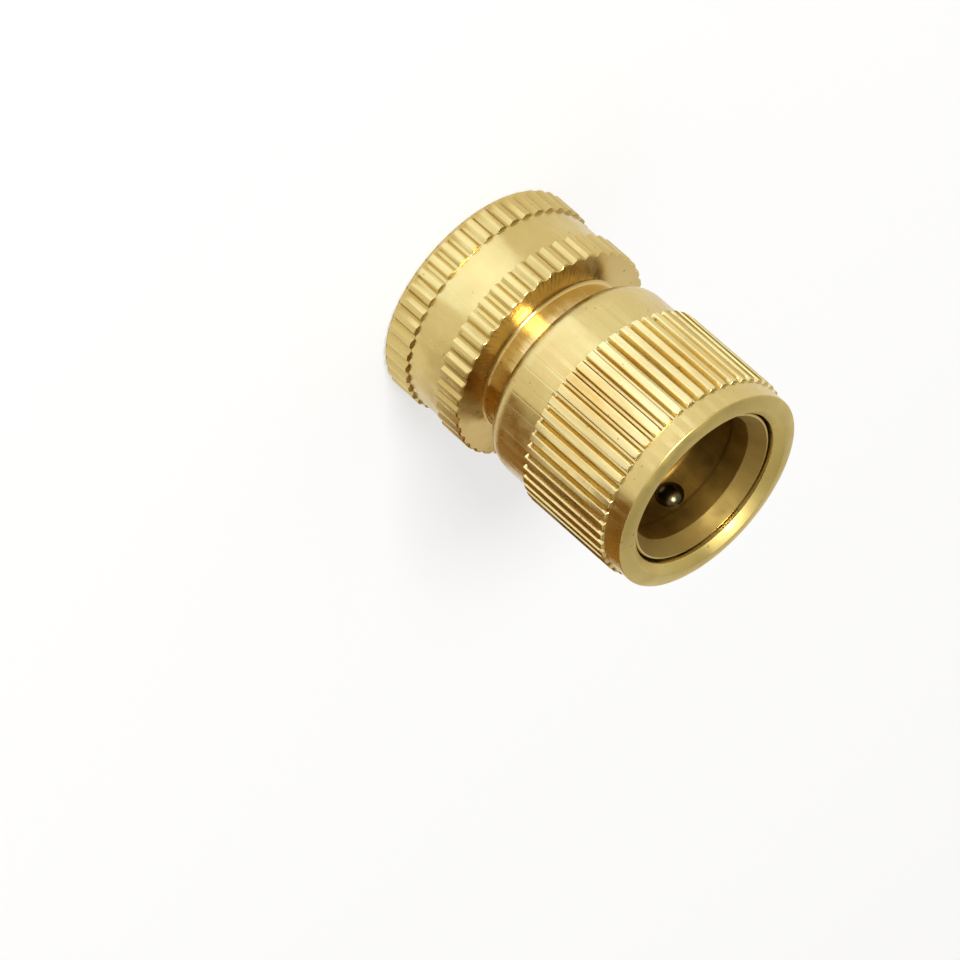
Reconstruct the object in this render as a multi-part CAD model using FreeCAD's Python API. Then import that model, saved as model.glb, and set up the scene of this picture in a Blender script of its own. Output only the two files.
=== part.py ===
import FreeCAD, Part
import math
import os

# Garden hose quick connector. It stands on the rim of its female threaded end,
# with the plug socket and its sliding release collar above.
# Sizes are in millimetres, Z is the flow axis and Z = 0 is the threaded rim.

# Female threaded end, knurled outside in two bands with a plain belt between them
THREAD_MAJOR_RADIUS = 13.22
THREAD_DEPTH = 1.16
THREAD_LENGTH = 8.2
RELIEF_UNDERCUT = 0.05
END_WALL = 0.8
END_LENGTH = 13.2
END_KNURL_DEPTH = 0.5
END_KNURL_TEETH = 44
END_KNURL_PHASE = 2.7
LOWER_BAND_LENGTH = 4.1
UPPER_BAND_LENGTH = 3.9
END_RIM_BEVEL = 0.5
END_FACE_BEVEL = 0.2

# Flat hose washer, trapped in the relief behind the thread
WASHER_THICKNESS = 2.3
WASHER_HOLE_RADIUS = 7.0
WASHER_SIDE_PLAY = 0.25
WASHER_END_PLAY = 0.5

# Water way, and the ring seal that the plug's nose enters
PASSAGE_RADIUS = 6.6
SEAL_CORD_RADIUS = 1.0
SEAL_SQUEEZE = 0.4
SEAL_GROOVE_PLAY = 0.2
SEAL_SET_BACK = 2.0

# Plug socket: the body's sleeve, its lead-in and the four locking balls
SOCKET_RADIUS = 8.9
SOCKET_DEPTH = 16.7
SLEEVE_WALL = 1.6
SLEEVE_RECESS = 1.4
SLEEVE_EDGE_BEVEL = 0.12
LEAD_IN_DEPTH = 1.8
RIM_WALL = 0.35
NECK_STEP = 0.2
NECK_FILLET = 0.35
BALL_COUNT = 4
BALL_RADIUS = 2.0
BALL_HOLE_PLAY = 0.06
BALL_SEAT_PLAY = 0.04
BALL_LIP_OVERLAP = 0.1
BALL_LIP_DEPTH = 0.2
BALL_RELIEF_DEPTH = 0.2
BALL_RELIEF_MARGIN = 0.3
BALL_FLUSH_MARGIN = 0.04
BALL_LAND_PLAY = 0.12
BALL_WEB_GAP = 0.6
BALL_LIP_GAP = 0.15

# Release collar: travel, knurl and turned bands
COLLAR_TRAVEL = 3.7
COLLAR_STOP_GAP = 0.3
COLLAR_GROOVE_WALL = 0.47
COLLAR_KNURL_DEPTH = 0.72
COLLAR_KNURL_TEETH = 50
COLLAR_KNURL_PHASE = 1.1
KNURL_RUN_OUT = 0.03
REAR_BAND_LENGTH = 7.1
REAR_NOSE_LENGTH = 1.8
REAR_NOSE_DROP = 0.8
KNURL_STEP_BEVEL = 0.2
KNURL_END_BEVEL = 0.12
FRONT_BAND_LENGTH = 3.2
FRONT_BAND_STEP = 0.45
FRONT_EDGE_HEIGHT = 0.5
FRONT_EDGE_WIDTH = 0.9
FRONT_LIP_LENGTH = 2.35
FRONT_LIP_GAP = 0.3
FRONT_MOUTH_WIDTH = 1.0
FRONT_MOUTH_DEPTH = 1.0
WEB_THICKNESS = 2.1
RUNNING_FIT = 0.06

# Return spring and the split ring that keeps the collar on
SPRING_WIRE_DIAMETER = 1.1
SPRING_TURNS = 3.5
SPRING_LENGTH = 8.05
SPRING_SLEEVE_GAP = 0.35
SPRING_SKIRT_GAP = 0.25
FLANGE_THICKNESS = 1.2
RING_THICKNESS = 0.85
RING_GRIP = 0.42
RING_NECK_GAP = 0.8
RING_SPLIT = 1.4
RING_PLAY = 0.05
RING_TAIL = 0.8

# Radii worked out from the sizes above
THREAD_MINOR_RADIUS = THREAD_MAJOR_RADIUS - THREAD_DEPTH
SLEEVE_RADIUS = SOCKET_RADIUS + SLEEVE_WALL
NECK_RADIUS = SLEEVE_RADIUS - NECK_STEP
BALL_LIP_RADIUS = BALL_RADIUS - BALL_LIP_OVERLAP
BALL_SEAT_HEIGHT = math.sqrt(BALL_RADIUS**2 - BALL_LIP_RADIUS**2)
BALL_RELIEF_RADIUS = SOCKET_RADIUS + BALL_RELIEF_DEPTH
BALL_ORBIT = BALL_RELIEF_RADIUS + BALL_LIP_DEPTH + BALL_SEAT_HEIGHT + BALL_SEAT_PLAY
BALL_LIFT = SOCKET_RADIUS - BALL_FLUSH_MARGIN - (BALL_ORBIT - BALL_RADIUS)
BALL_LAND_RADIUS = BALL_ORBIT + BALL_RADIUS + BALL_LAND_PLAY
BALL_GROOVE_RADIUS = BALL_LAND_RADIUS + BALL_LIFT
REAR_BAND_RADIUS = BALL_GROOVE_RADIUS + COLLAR_GROOVE_WALL
COLLAR_ROOT_RADIUS = REAR_BAND_RADIUS + KNURL_RUN_OUT
COLLAR_RADIUS = COLLAR_ROOT_RADIUS + COLLAR_KNURL_DEPTH
FRONT_BAND_RADIUS = COLLAR_RADIUS - FRONT_BAND_STEP
SPRING_MEAN_RADIUS = SLEEVE_RADIUS + SPRING_SLEEVE_GAP + SPRING_WIRE_DIAMETER / 2
FLANGE_RADIUS = SPRING_MEAN_RADIUS + SPRING_WIRE_DIAMETER / 2 + SPRING_SKIRT_GAP
SKIRT_BORE = FLANGE_RADIUS + RUNNING_FIT
RING_OUTER_RADIUS = SKIRT_BORE + RING_GRIP
RELIEF_RADIUS = THREAD_MAJOR_RADIUS + RELIEF_UNDERCUT
BELT_RADIUS = RELIEF_RADIUS + END_WALL
END_ROOT_RADIUS = BELT_RADIUS + KNURL_RUN_OUT
END_RADIUS = END_ROOT_RADIUS + END_KNURL_DEPTH
SEAL_GROOVE_RADIUS = PASSAGE_RADIUS - SEAL_SQUEEZE + 2 * SEAL_CORD_RADIUS

# Heights, each stacked on the one before
RELIEF_LENGTH = WASHER_THICKNESS + WASHER_END_PLAY
WASHER_SEAT_Z = THREAD_LENGTH + RELIEF_LENGTH
COLLAR_REAR_Z = END_LENGTH + COLLAR_TRAVEL + COLLAR_STOP_GAP
RING_GROOVE_Z = COLLAR_REAR_Z + RING_TAIL
RING_Z = RING_GROOVE_Z + RING_PLAY
FLANGE_Z = RING_Z + RING_THICKNESS + RING_PLAY
SPRING_Z = FLANGE_Z + FLANGE_THICKNESS
WEB_Z = SPRING_Z + SPRING_LENGTH
WEB_TOP_Z = WEB_Z + WEB_THICKNESS
BALL_Z = WEB_TOP_Z + BALL_WEB_GAP + BALL_RADIUS
RAMP_TOP_Z = BALL_Z + COLLAR_TRAVEL
FRONT_LIP_Z = RAMP_TOP_Z + BALL_RADIUS + BALL_LIP_GAP
COLLAR_FRONT_Z = FRONT_LIP_Z + FRONT_LIP_LENGTH
SLEEVE_TOP_Z = COLLAR_FRONT_Z - SLEEVE_RECESS
SOCKET_FLOOR_Z = SLEEVE_TOP_Z - SOCKET_DEPTH
SEAL_GROOVE_HALF = SEAL_CORD_RADIUS + SEAL_GROOVE_PLAY
SEAL_Z = SOCKET_FLOOR_Z - (SOCKET_RADIUS - PASSAGE_RADIUS) - SEAL_SET_BACK - SEAL_GROOVE_HALF
KNURL_START_Z = COLLAR_REAR_Z + REAR_BAND_LENGTH
KNURL_END_Z = COLLAR_FRONT_Z - FRONT_BAND_LENGTH

# Widths of the knurl's cuts, as shares of the tooth pitch
END_CUT_TOP_SHARE = 0.58
END_CUT_ROOT_SHARE = 0.22
COLLAR_CUT_TOP_SHARE = 0.42
COLLAR_CUT_ROOT_SHARE = 0.2
CUT_OVERRUN = 0.5

ORIGIN = FreeCAD.Vector(0, 0, 0)
Z_AXIS = FreeCAD.Vector(0, 0, 1)
X_AXIS = FreeCAD.Vector(1, 0, 0)


def turned(points):
    """A solid of revolution about Z from (radius, height) points."""
    corners = [FreeCAD.Vector(radius, 0, height) for radius, height in points]
    outline = Part.makePolygon(corners + [corners[0]])
    return Part.Face(outline).revolve(ORIGIN, Z_AXIS, 360)


def knurl_cutter(root, crest, teeth, root_share, top_share, low, high):
    """A straight prism, wider outwards, that cuts one groove at angle 0."""
    pitch = 2 * math.pi * crest / teeth
    reach = crest + CUT_OVERRUN
    half_root = pitch * root_share / 2
    half_top = pitch * top_share / 2
    half_reach = half_root + (half_top - half_root) * (reach - root) / (crest - root)
    corners = [
        FreeCAD.Vector(root, -half_root, low),
        FreeCAD.Vector(reach, -half_reach, low),
        FreeCAD.Vector(reach, half_reach, low),
        FreeCAD.Vector(root, half_root, low),
    ]
    face = Part.Face(Part.makePolygon(corners + [corners[0]]))
    return face.extrude(FreeCAD.Vector(0, 0, high - low))


def knurled(blank, cutter, teeth, phase):
    """The blank with the cutter's groove repeated round it."""
    cutters = []
    for tooth in range(teeth):
        copy = cutter.copy()
        copy.rotate(ORIGIN, Z_AXIS, phase + 360 * tooth / teeth)
        cutters.append(copy)
    return blank.cut(Part.makeCompound(cutters))


def ball_positions():
    """Angle in degrees and centre of each locking ball, held in by the collar."""
    for number in range(BALL_COUNT):
        angle = 360 * number / BALL_COUNT
        turn = math.radians(angle)
        x = BALL_ORBIT * math.cos(turn)
        y = BALL_ORBIT * math.sin(turn)
        yield angle, FreeCAD.Vector(x, y, BALL_Z)


def ball_hole():
    """The stepped hole for one ball, along +X: a clear bore, a seat and a narrow lip."""
    bore = BALL_RADIUS + BALL_HOLE_PLAY
    lip = BALL_RELIEF_RADIUS + BALL_LIP_DEPTH
    seat_top = BALL_ORBIT - BALL_SEAT_HEIGHT / 3
    inner = SOCKET_RADIUS - CUT_OVERRUN
    profile = [
        (SLEEVE_RADIUS + CUT_OVERRUN, 0),
        (SLEEVE_RADIUS + CUT_OVERRUN, bore),
        (seat_top, bore),
        (lip, BALL_LIP_RADIUS),
        (inner, BALL_LIP_RADIUS),
        (inner, 0),
    ]
    corners = [FreeCAD.Vector(along, 0, BALL_Z + radius) for along, radius in profile]
    face = Part.Face(Part.makePolygon(corners + [corners[0]]))
    return face.revolve(FreeCAD.Vector(0, 0, BALL_Z), X_AXIS, 360)


def body_outline():
    """Outside of the body, from the threaded rim up to the sleeve's edge."""
    lower_top = LOWER_BAND_LENGTH
    upper_start = END_LENGTH - UPPER_BAND_LENGTH
    bevel_end = SLEEVE_TOP_Z - SLEEVE_EDGE_BEVEL
    return [
        (END_RADIUS - END_RIM_BEVEL, 0),
        (END_RADIUS, END_RIM_BEVEL),
        (END_RADIUS, lower_top),
        (BELT_RADIUS, lower_top),
        (BELT_RADIUS, upper_start),
        (END_RADIUS, upper_start),
        (END_RADIUS, END_LENGTH - END_FACE_BEVEL),
        (END_RADIUS - END_FACE_BEVEL, END_LENGTH),
        (NECK_RADIUS + NECK_FILLET, END_LENGTH),
        (NECK_RADIUS, END_LENGTH + NECK_FILLET),
        (NECK_RADIUS, FLANGE_Z),
        (FLANGE_RADIUS, FLANGE_Z),
        (FLANGE_RADIUS, SPRING_Z),
        (SLEEVE_RADIUS, SPRING_Z),
        (SLEEVE_RADIUS, bevel_end),
        (SLEEVE_RADIUS - SLEEVE_EDGE_BEVEL, SLEEVE_TOP_Z),
    ]


def body_bore():
    """Inside of the body, from the sleeve's rim down to the thread's mouth."""
    cone_foot = SOCKET_FLOOR_Z - (SOCKET_RADIUS - PASSAGE_RADIUS)
    relief_half = BALL_LIP_RADIUS + BALL_RELIEF_MARGIN
    return [
        (SLEEVE_RADIUS - RIM_WALL, SLEEVE_TOP_Z),
        (SOCKET_RADIUS, SLEEVE_TOP_Z - LEAD_IN_DEPTH),
        (SOCKET_RADIUS, BALL_Z + relief_half),
        (BALL_RELIEF_RADIUS, BALL_Z + relief_half - BALL_RELIEF_DEPTH),
        (BALL_RELIEF_RADIUS, BALL_Z - relief_half + BALL_RELIEF_DEPTH),
        (SOCKET_RADIUS, BALL_Z - relief_half),
        (SOCKET_RADIUS, SOCKET_FLOOR_Z),
        (PASSAGE_RADIUS, cone_foot),
        (PASSAGE_RADIUS, SEAL_Z + SEAL_GROOVE_HALF),
        (SEAL_GROOVE_RADIUS, SEAL_Z + SEAL_GROOVE_HALF),
        (SEAL_GROOVE_RADIUS, SEAL_Z - SEAL_GROOVE_HALF),
        (PASSAGE_RADIUS, SEAL_Z - SEAL_GROOVE_HALF),
        (PASSAGE_RADIUS, WASHER_SEAT_Z),
        (RELIEF_RADIUS, WASHER_SEAT_Z),
        (RELIEF_RADIUS, THREAD_LENGTH),
        (THREAD_MINOR_RADIUS, THREAD_LENGTH),
        (THREAD_MINOR_RADIUS, THREAD_DEPTH),
        (THREAD_MAJOR_RADIUS, 0),
    ]


def connector_body():
    """The turned body: threaded end, neck, guide flange and ball sleeve in one piece."""
    blank = turned(body_outline() + body_bore())
    cutter = knurl_cutter(END_ROOT_RADIUS, END_RADIUS, END_KNURL_TEETH,
                          END_CUT_ROOT_SHARE, END_CUT_TOP_SHARE,
                          -CUT_OVERRUN, END_LENGTH + CUT_OVERRUN)
    body = knurled(blank, cutter, END_KNURL_TEETH, END_KNURL_PHASE)
    hole = ball_hole()
    for angle, centre in ball_positions():
        copy = hole.copy()
        copy.rotate(ORIGIN, Z_AXIS, angle)
        body = body.cut(copy)
    return body


def collar_outline():
    """Outside of the collar: rounded nose, plain band, knurl, plain band and edge."""
    nose_radius = REAR_BAND_RADIUS - REAR_NOSE_DROP
    nose_middle = REAR_BAND_RADIUS - REAR_NOSE_DROP / 4
    return [
        (nose_radius, COLLAR_REAR_Z),
        (nose_middle, COLLAR_REAR_Z + REAR_NOSE_LENGTH / 2),
        (REAR_BAND_RADIUS, COLLAR_REAR_Z + REAR_NOSE_LENGTH),
        (REAR_BAND_RADIUS, KNURL_START_Z - KNURL_STEP_BEVEL),
        (COLLAR_RADIUS, KNURL_START_Z),
        (COLLAR_RADIUS, KNURL_END_Z - KNURL_END_BEVEL),
        (COLLAR_RADIUS - KNURL_END_BEVEL, KNURL_END_Z),
        (FRONT_BAND_RADIUS, KNURL_END_Z),
        (FRONT_BAND_RADIUS, COLLAR_FRONT_Z - FRONT_EDGE_HEIGHT),
        (FRONT_BAND_RADIUS - FRONT_EDGE_WIDTH, COLLAR_FRONT_Z),
    ]


def collar_bore():
    """Inside of the collar: countersunk lip, ball groove, ramp, land, web, skirt and ring groove."""
    lip = SLEEVE_RADIUS + FRONT_LIP_GAP
    ring_groove_top = RING_GROOVE_Z + RING_THICKNESS + 2 * RING_PLAY
    return [
        (lip + FRONT_MOUTH_WIDTH, COLLAR_FRONT_Z),
        (lip, COLLAR_FRONT_Z - FRONT_MOUTH_DEPTH),
        (lip, FRONT_LIP_Z),
        (BALL_GROOVE_RADIUS, FRONT_LIP_Z),
        (BALL_GROOVE_RADIUS, RAMP_TOP_Z),
        (BALL_LAND_RADIUS, BALL_Z),
        (BALL_LAND_RADIUS, WEB_TOP_Z),
        (SLEEVE_RADIUS + RUNNING_FIT, WEB_TOP_Z),
        (SLEEVE_RADIUS + RUNNING_FIT, WEB_Z),
        (SKIRT_BORE, WEB_Z),
        (SKIRT_BORE, ring_groove_top),
        (RING_OUTER_RADIUS + RING_PLAY, ring_groove_top),
        (RING_OUTER_RADIUS + RING_PLAY, RING_GROOVE_Z),
        (SKIRT_BORE, RING_GROOVE_Z),
        (SKIRT_BORE, COLLAR_REAR_Z),
    ]


def release_collar():
    """The knurled sleeve that is pulled back towards the hose to free the plug."""
    blank = turned(collar_outline() + collar_bore())
    cutter = knurl_cutter(COLLAR_ROOT_RADIUS, COLLAR_RADIUS, COLLAR_KNURL_TEETH,
                          COLLAR_CUT_ROOT_SHARE, COLLAR_CUT_TOP_SHARE,
                          KNURL_START_Z - KNURL_STEP_BEVEL - CUT_OVERRUN, KNURL_END_Z)
    return knurled(blank, cutter, COLLAR_KNURL_TEETH, COLLAR_KNURL_PHASE)


def return_spring():
    """A compression spring of round wire with ends ground flat on its two seats."""
    wire_radius = SPRING_WIRE_DIAMETER / 2
    pitch = SPRING_LENGTH / SPRING_TURNS
    path = Part.makeHelix(pitch, SPRING_LENGTH, SPRING_MEAN_RADIUS)
    path.translate(FreeCAD.Vector(0, 0, SPRING_Z))
    start = FreeCAD.Vector(SPRING_MEAN_RADIUS, 0, SPRING_Z)
    climb = pitch / (2 * math.pi * SPRING_MEAN_RADIUS)
    section = Part.Wire(Part.makeCircle(wire_radius, start, FreeCAD.Vector(0, 1, climb)))
    coil = Part.Wire(path).makePipeShell([section], True, True)
    slab = Part.makeCylinder(FLANGE_RADIUS, SPRING_LENGTH, FreeCAD.Vector(0, 0, SPRING_Z))
    return coil.common(slab)


def retaining_ring():
    """A split ring, sprung into the collar's skirt, that stops against the guide flange."""
    inner = NECK_RADIUS + RING_NECK_GAP
    ring = turned([
        (inner, RING_Z),
        (RING_OUTER_RADIUS, RING_Z),
        (RING_OUTER_RADIUS, RING_Z + RING_THICKNESS),
        (inner, RING_Z + RING_THICKNESS),
    ])
    corner = FreeCAD.Vector(-RING_OUTER_RADIUS - CUT_OVERRUN, -RING_SPLIT / 2, RING_Z - CUT_OVERRUN)
    gap = Part.makeBox(RING_OUTER_RADIUS, RING_SPLIT, RING_THICKNESS + 2 * CUT_OVERRUN, corner)
    return ring.cut(gap)


def plug_seal():
    """The ring seal, which stands a little proud of the water way."""
    mean_radius = SEAL_GROOVE_RADIUS - SEAL_CORD_RADIUS
    return Part.makeTorus(mean_radius, SEAL_CORD_RADIUS, FreeCAD.Vector(0, 0, SEAL_Z), Z_AXIS)


def hose_washer():
    """The flat washer that the hose's threaded end is screwed down on."""
    outer = RELIEF_RADIUS - WASHER_SIDE_PLAY
    low = WASHER_SEAT_Z - WASHER_THICKNESS
    return turned([
        (WASHER_HOLE_RADIUS, low),
        (outer, low),
        (outer, WASHER_SEAT_Z),
        (WASHER_HOLE_RADIUS, WASHER_SEAT_Z),
    ])


def locking_balls():
    """The balls, each in its own hole through the sleeve."""
    for number, (angle, centre) in enumerate(ball_positions(), start=1):
        yield f"locking_ball_{number}", Part.makeSphere(BALL_RADIUS, centre)


def main():
    os.makedirs("parts", exist_ok=True)
    parts = {
        "connector_body": connector_body(),
        "release_collar": release_collar(),
        "return_spring": return_spring(),
        "retaining_ring": retaining_ring(),
        "plug_seal": plug_seal(),
        "hose_washer": hose_washer(),
    }
    parts.update(locking_balls())
    for name, shape in parts.items():
        shape.exportStep(f"parts/{name}.step")
        print(name, round(shape.Volume, 2), "valid", shape.isValid(), "solids", len(shape.Solids))


main()
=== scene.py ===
import math

import bpy
import numpy as np
from mathutils import Matrix


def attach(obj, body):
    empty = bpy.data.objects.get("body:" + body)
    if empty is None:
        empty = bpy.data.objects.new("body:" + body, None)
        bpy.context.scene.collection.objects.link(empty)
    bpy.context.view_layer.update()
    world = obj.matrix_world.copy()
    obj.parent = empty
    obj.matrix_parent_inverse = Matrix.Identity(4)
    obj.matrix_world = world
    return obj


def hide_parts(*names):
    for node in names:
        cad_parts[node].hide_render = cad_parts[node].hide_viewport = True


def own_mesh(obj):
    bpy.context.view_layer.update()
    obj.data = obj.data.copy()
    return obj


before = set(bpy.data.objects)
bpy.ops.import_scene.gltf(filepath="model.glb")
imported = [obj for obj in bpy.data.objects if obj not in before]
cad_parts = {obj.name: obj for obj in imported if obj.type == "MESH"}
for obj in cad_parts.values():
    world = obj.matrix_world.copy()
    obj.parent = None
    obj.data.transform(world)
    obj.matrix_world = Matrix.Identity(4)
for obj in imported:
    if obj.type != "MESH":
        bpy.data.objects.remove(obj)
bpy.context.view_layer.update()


# Connector body
# One bar of yellow brass, turned, bored and threaded in a lathe. Its wide end is cut with
# a female hose thread and straight-knurled in two bands; the thin sleeve is the plug socket.
MM = 0.001
END_RADIUS = 14.6 * MM
END_ROOT_RADIUS = 14.13 * MM
BELT_RADIUS = 14.1 * MM
END_LENGTH = 13.2 * MM
LOWER_BAND_TOP = 4.1 * MM
UPPER_BAND_FOOT = 9.3 * MM
RIM_BEVEL = 0.5 * MM
FACE_BEVEL = 0.2 * MM
NECK_RADIUS = 10.3 * MM
NECK_FILLET = 0.35 * MM
FLANGE_FOOT = 18.95 * MM
FLANGE_TOP = 20.15 * MM
FLANGE_RADIUS = 12.2 * MM
SLEEVE_RADIUS = 10.5 * MM
SLEEVE_TOP = 39.7 * MM
SLEEVE_EDGE = 0.12 * MM
RIM_INNER_RADIUS = 10.15 * MM
SOCKET_RADIUS = 8.9 * MM
LEAD_IN_FOOT = 37.9 * MM
BALL_HEIGHT = 32.9 * MM
BALL_RADIUS = 2.0 * MM
BALL_ORBIT = 9.9645 * MM
BALL_HOLE_RADIUS = 2.06 * MM
BALL_LIP_RADIUS = 1.9 * MM
BALL_LIP_REACH = 9.3 * MM
RELIEF_RADIUS = 9.1 * MM
RELIEF_HALF = 2.2 * MM
SOCKET_FLOOR = 23.0 * MM
PASSAGE_RADIUS = 6.6 * MM
SEAL_HEIGHT = 17.5 * MM
SEAL_GROOVE_HALF = 1.2 * MM
SEAL_GROOVE_RADIUS = 8.2 * MM
WASHER_SEAT = 11.0 * MM
UNDERCUT_RADIUS = 13.27 * MM
THREAD_TOP = 8.2 * MM
THREAD_MINOR_RADIUS = 12.06 * MM
THREAD_MAJOR_RADIUS = 13.22 * MM
THREAD_PITCH = 1.814 * MM
THREAD_ROWS = 76
THREAD_STEEPNESS = 1.25
THREAD_FLAT = 0.1
END_TEETH = 44
END_PHASE = math.radians(2.7)
END_TOOTH_COLUMNS = np.array([0.0, 0.08, 0.11, 0.29, 0.33, 0.42, 0.5, 0.58, 0.67, 0.71, 0.89, 0.92])
END_TOOTH_SHARES = [0.0, 0.1, 0.29, 0.35, 0.5]
END_SHOULDER = 0.16
END_TILT = 0.08 * MM
# Share of tarnish and painted shade at the root of the end bands' grooves.
END_DIRT_AND_SHADE = 0.3
EDGE_STEPS = 3
BREAK = 0.05 * MM
FINE_BREAK = 0.03 * MM
CREST_BREAK = 0.08 * MM
FILLET_BREAK = 0.18 * MM
RELIEF_BREAK = 0.25 * MM
DRILL_OUTER = 12.0 * MM
DRILL_INNER = 8.0 * MM
DRILL_SIDES = 48
BALL_STEP = 0.21 * MM
SAME_POINT = 0.001 * MM
SHARP_DEGREES = 55
WALL_MARGIN = 0.3 * MM


def rounded_outline(corners, steps):
    """A closed outline with each corner, given as radius, height and cut, turned into a short curve.

    The curve is the quadratic Bezier (1-t)^2 A + 2t(1-t) C + t^2 B, where C is the corner
    and A and B lie a cut's length back from it along the two edges.
    """
    place, cut = corners[:, :2], corners[:, 2:]
    to_last = np.roll(place, 1, axis=0) - place
    to_next = np.roll(place, -1, axis=0) - place
    start = place + to_last / np.linalg.norm(to_last, axis=1)[:, None] * cut
    end = place + to_next / np.linalg.norm(to_next, axis=1)[:, None] * cut
    t = np.linspace(0, 1, steps)[None, :, None]
    curve = (1 - t) ** 2 * start[:, None] + 2 * t * (1 - t) * place[:, None] + t**2 * end[:, None]
    return curve.reshape(-1, 2)


def knurl_columns(teeth, phase, columns):
    """Columns round the axis: the same shares of the pitch in every tooth, from a groove's middle."""
    share = (np.arange(teeth)[:, None] + columns[None, :]).ravel()
    return share, phase + 2 * math.pi * share / teeth


def tooth_radius(share, corner_shares, root, crest, bevel, tilt):
    """Radius across the knurl from the distance to the nearest groove's middle.

    It runs along straight lines: flat floor, sloping wall, bevelled shoulder and land. Each
    land leans by its own tilt times the place across the tooth, with its high edge at the crest.
    """
    place = share - np.floor(share)
    off_groove = np.minimum(place, 1 - place)
    shape = np.interp(off_groove, corner_shares, [0, 0, 1 - bevel, 1, 1])
    lean = tilt[np.floor(share).astype(int)]
    drop = np.abs(lean) * (0.5 - corner_shares[3]) - lean * (place - 0.5)
    return root + (crest - root) * shape - np.maximum(drop, 0) * shape


def closed_grid(name, x, y, z, close_rows=True):
    """A smooth mesh from a grid of points, joined across its columns and, if asked, its rows."""
    rows, columns = x.shape
    index = np.arange(rows * columns).reshape(rows, columns)
    low = index if close_rows else index[:-1]
    high = np.roll(index, -1, axis=0) if close_rows else index[1:]
    quads = np.stack([low, np.roll(low, -1, axis=1), np.roll(high, -1, axis=1), high], axis=-1)
    mesh = bpy.data.meshes.new(name)
    mesh.from_pydata(np.stack([x, y, z], axis=-1).reshape(-1, 3), [], quads.reshape(-1, 4))
    mesh.shade_smooth()
    piece = bpy.data.objects.new(name, mesh)
    bpy.context.scene.collection.objects.link(piece)
    return piece


def mark_grooves(piece, radius, on_knurl, root, crest, tarnish_and_shade):
    """A value on each vertex: the share of tarnish and painted shade at the knurl's root, 0 at its crest
    and off the knurl.
    """
    depth = tarnish_and_shade * np.clip((crest - radius) / (crest - root), 0, 1)
    value = np.where(on_knurl & (radius > root - WALL_MARGIN), depth, 0)
    groove = piece.data.attributes.new("groove", "FLOAT", "POINT")
    groove.data.foreach_set("value", value.ravel().astype(np.float32))


def apply_modifiers(piece):
    """Puts the mesh that the piece's modifiers give in the place of its own."""
    evaluated = piece.evaluated_get(bpy.context.evaluated_depsgraph_get())
    finished = bpy.data.meshes.new_from_object(evaluated)
    piece.modifiers.clear()
    piece.data = finished
    return piece


def face_weighted(piece):
    """Normals weighted by face area, so that flats look flat beside their fine edges."""
    piece.data.set_sharp_from_angle(angle=math.radians(SHARP_DEGREES))
    weigh = piece.modifiers.new("face weight", "WEIGHTED_NORMAL")
    weigh.keep_sharp = True
    return apply_modifiers(piece)


def body_outline():
    """Rows of the body's closed section: (radius, height) pairs, and which rows the knurl cuts."""
    corners = np.array([
        (END_RADIUS - RIM_BEVEL, 0, BREAK),
        (END_RADIUS, RIM_BEVEL, CREST_BREAK),
        (END_RADIUS, LOWER_BAND_TOP, CREST_BREAK),
        (BELT_RADIUS, LOWER_BAND_TOP, BREAK),
        (BELT_RADIUS, UPPER_BAND_FOOT, BREAK),
        (END_RADIUS, UPPER_BAND_FOOT, CREST_BREAK),
        (END_RADIUS, END_LENGTH - FACE_BEVEL, CREST_BREAK),
        (END_RADIUS - FACE_BEVEL, END_LENGTH, CREST_BREAK),
        (NECK_RADIUS + NECK_FILLET, END_LENGTH, FILLET_BREAK),
        (NECK_RADIUS, END_LENGTH + NECK_FILLET, FILLET_BREAK),
        (NECK_RADIUS, FLANGE_FOOT, BREAK),
        (FLANGE_RADIUS, FLANGE_FOOT, BREAK),
        (FLANGE_RADIUS, FLANGE_TOP, BREAK),
        (SLEEVE_RADIUS, FLANGE_TOP, BREAK),
        (SLEEVE_RADIUS, SLEEVE_TOP - SLEEVE_EDGE, FINE_BREAK),
        (SLEEVE_RADIUS - SLEEVE_EDGE, SLEEVE_TOP, FINE_BREAK),
        (RIM_INNER_RADIUS, SLEEVE_TOP, FINE_BREAK),
        (SOCKET_RADIUS, LEAD_IN_FOOT, BREAK),
        (SOCKET_RADIUS, BALL_HEIGHT + RELIEF_HALF, RELIEF_BREAK),
        (RELIEF_RADIUS, BALL_HEIGHT + RELIEF_HALF - (RELIEF_RADIUS - SOCKET_RADIUS), RELIEF_BREAK),
        (RELIEF_RADIUS, BALL_HEIGHT - RELIEF_HALF + (RELIEF_RADIUS - SOCKET_RADIUS), RELIEF_BREAK),
        (SOCKET_RADIUS, BALL_HEIGHT - RELIEF_HALF, RELIEF_BREAK),
        (SOCKET_RADIUS, SOCKET_FLOOR, BREAK),
        (PASSAGE_RADIUS, SOCKET_FLOOR - (SOCKET_RADIUS - PASSAGE_RADIUS), BREAK),
        (PASSAGE_RADIUS, SEAL_HEIGHT + SEAL_GROOVE_HALF, BREAK),
        (SEAL_GROOVE_RADIUS, SEAL_HEIGHT + SEAL_GROOVE_HALF, BREAK),
        (SEAL_GROOVE_RADIUS, SEAL_HEIGHT - SEAL_GROOVE_HALF, BREAK),
        (PASSAGE_RADIUS, SEAL_HEIGHT - SEAL_GROOVE_HALF, BREAK),
        (PASSAGE_RADIUS, WASHER_SEAT, BREAK),
        (UNDERCUT_RADIUS, WASHER_SEAT, BREAK),
        (UNDERCUT_RADIUS, THREAD_TOP, BREAK),
        (THREAD_MINOR_RADIUS, THREAD_TOP, BREAK),
        (THREAD_MINOR_RADIUS, THREAD_MAJOR_RADIUS - THREAD_MINOR_RADIUS, BREAK),
        (THREAD_MAJOR_RADIUS, 0, BREAK),
    ])
    lower_band, upper_band = [0, 1, 2], [5, 6, 7]
    knurled = np.repeat(np.isin(np.arange(len(corners)), lower_band + upper_band), EDGE_STEPS)
    return rounded_outline(corners, EDGE_STEPS), knurled


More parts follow.
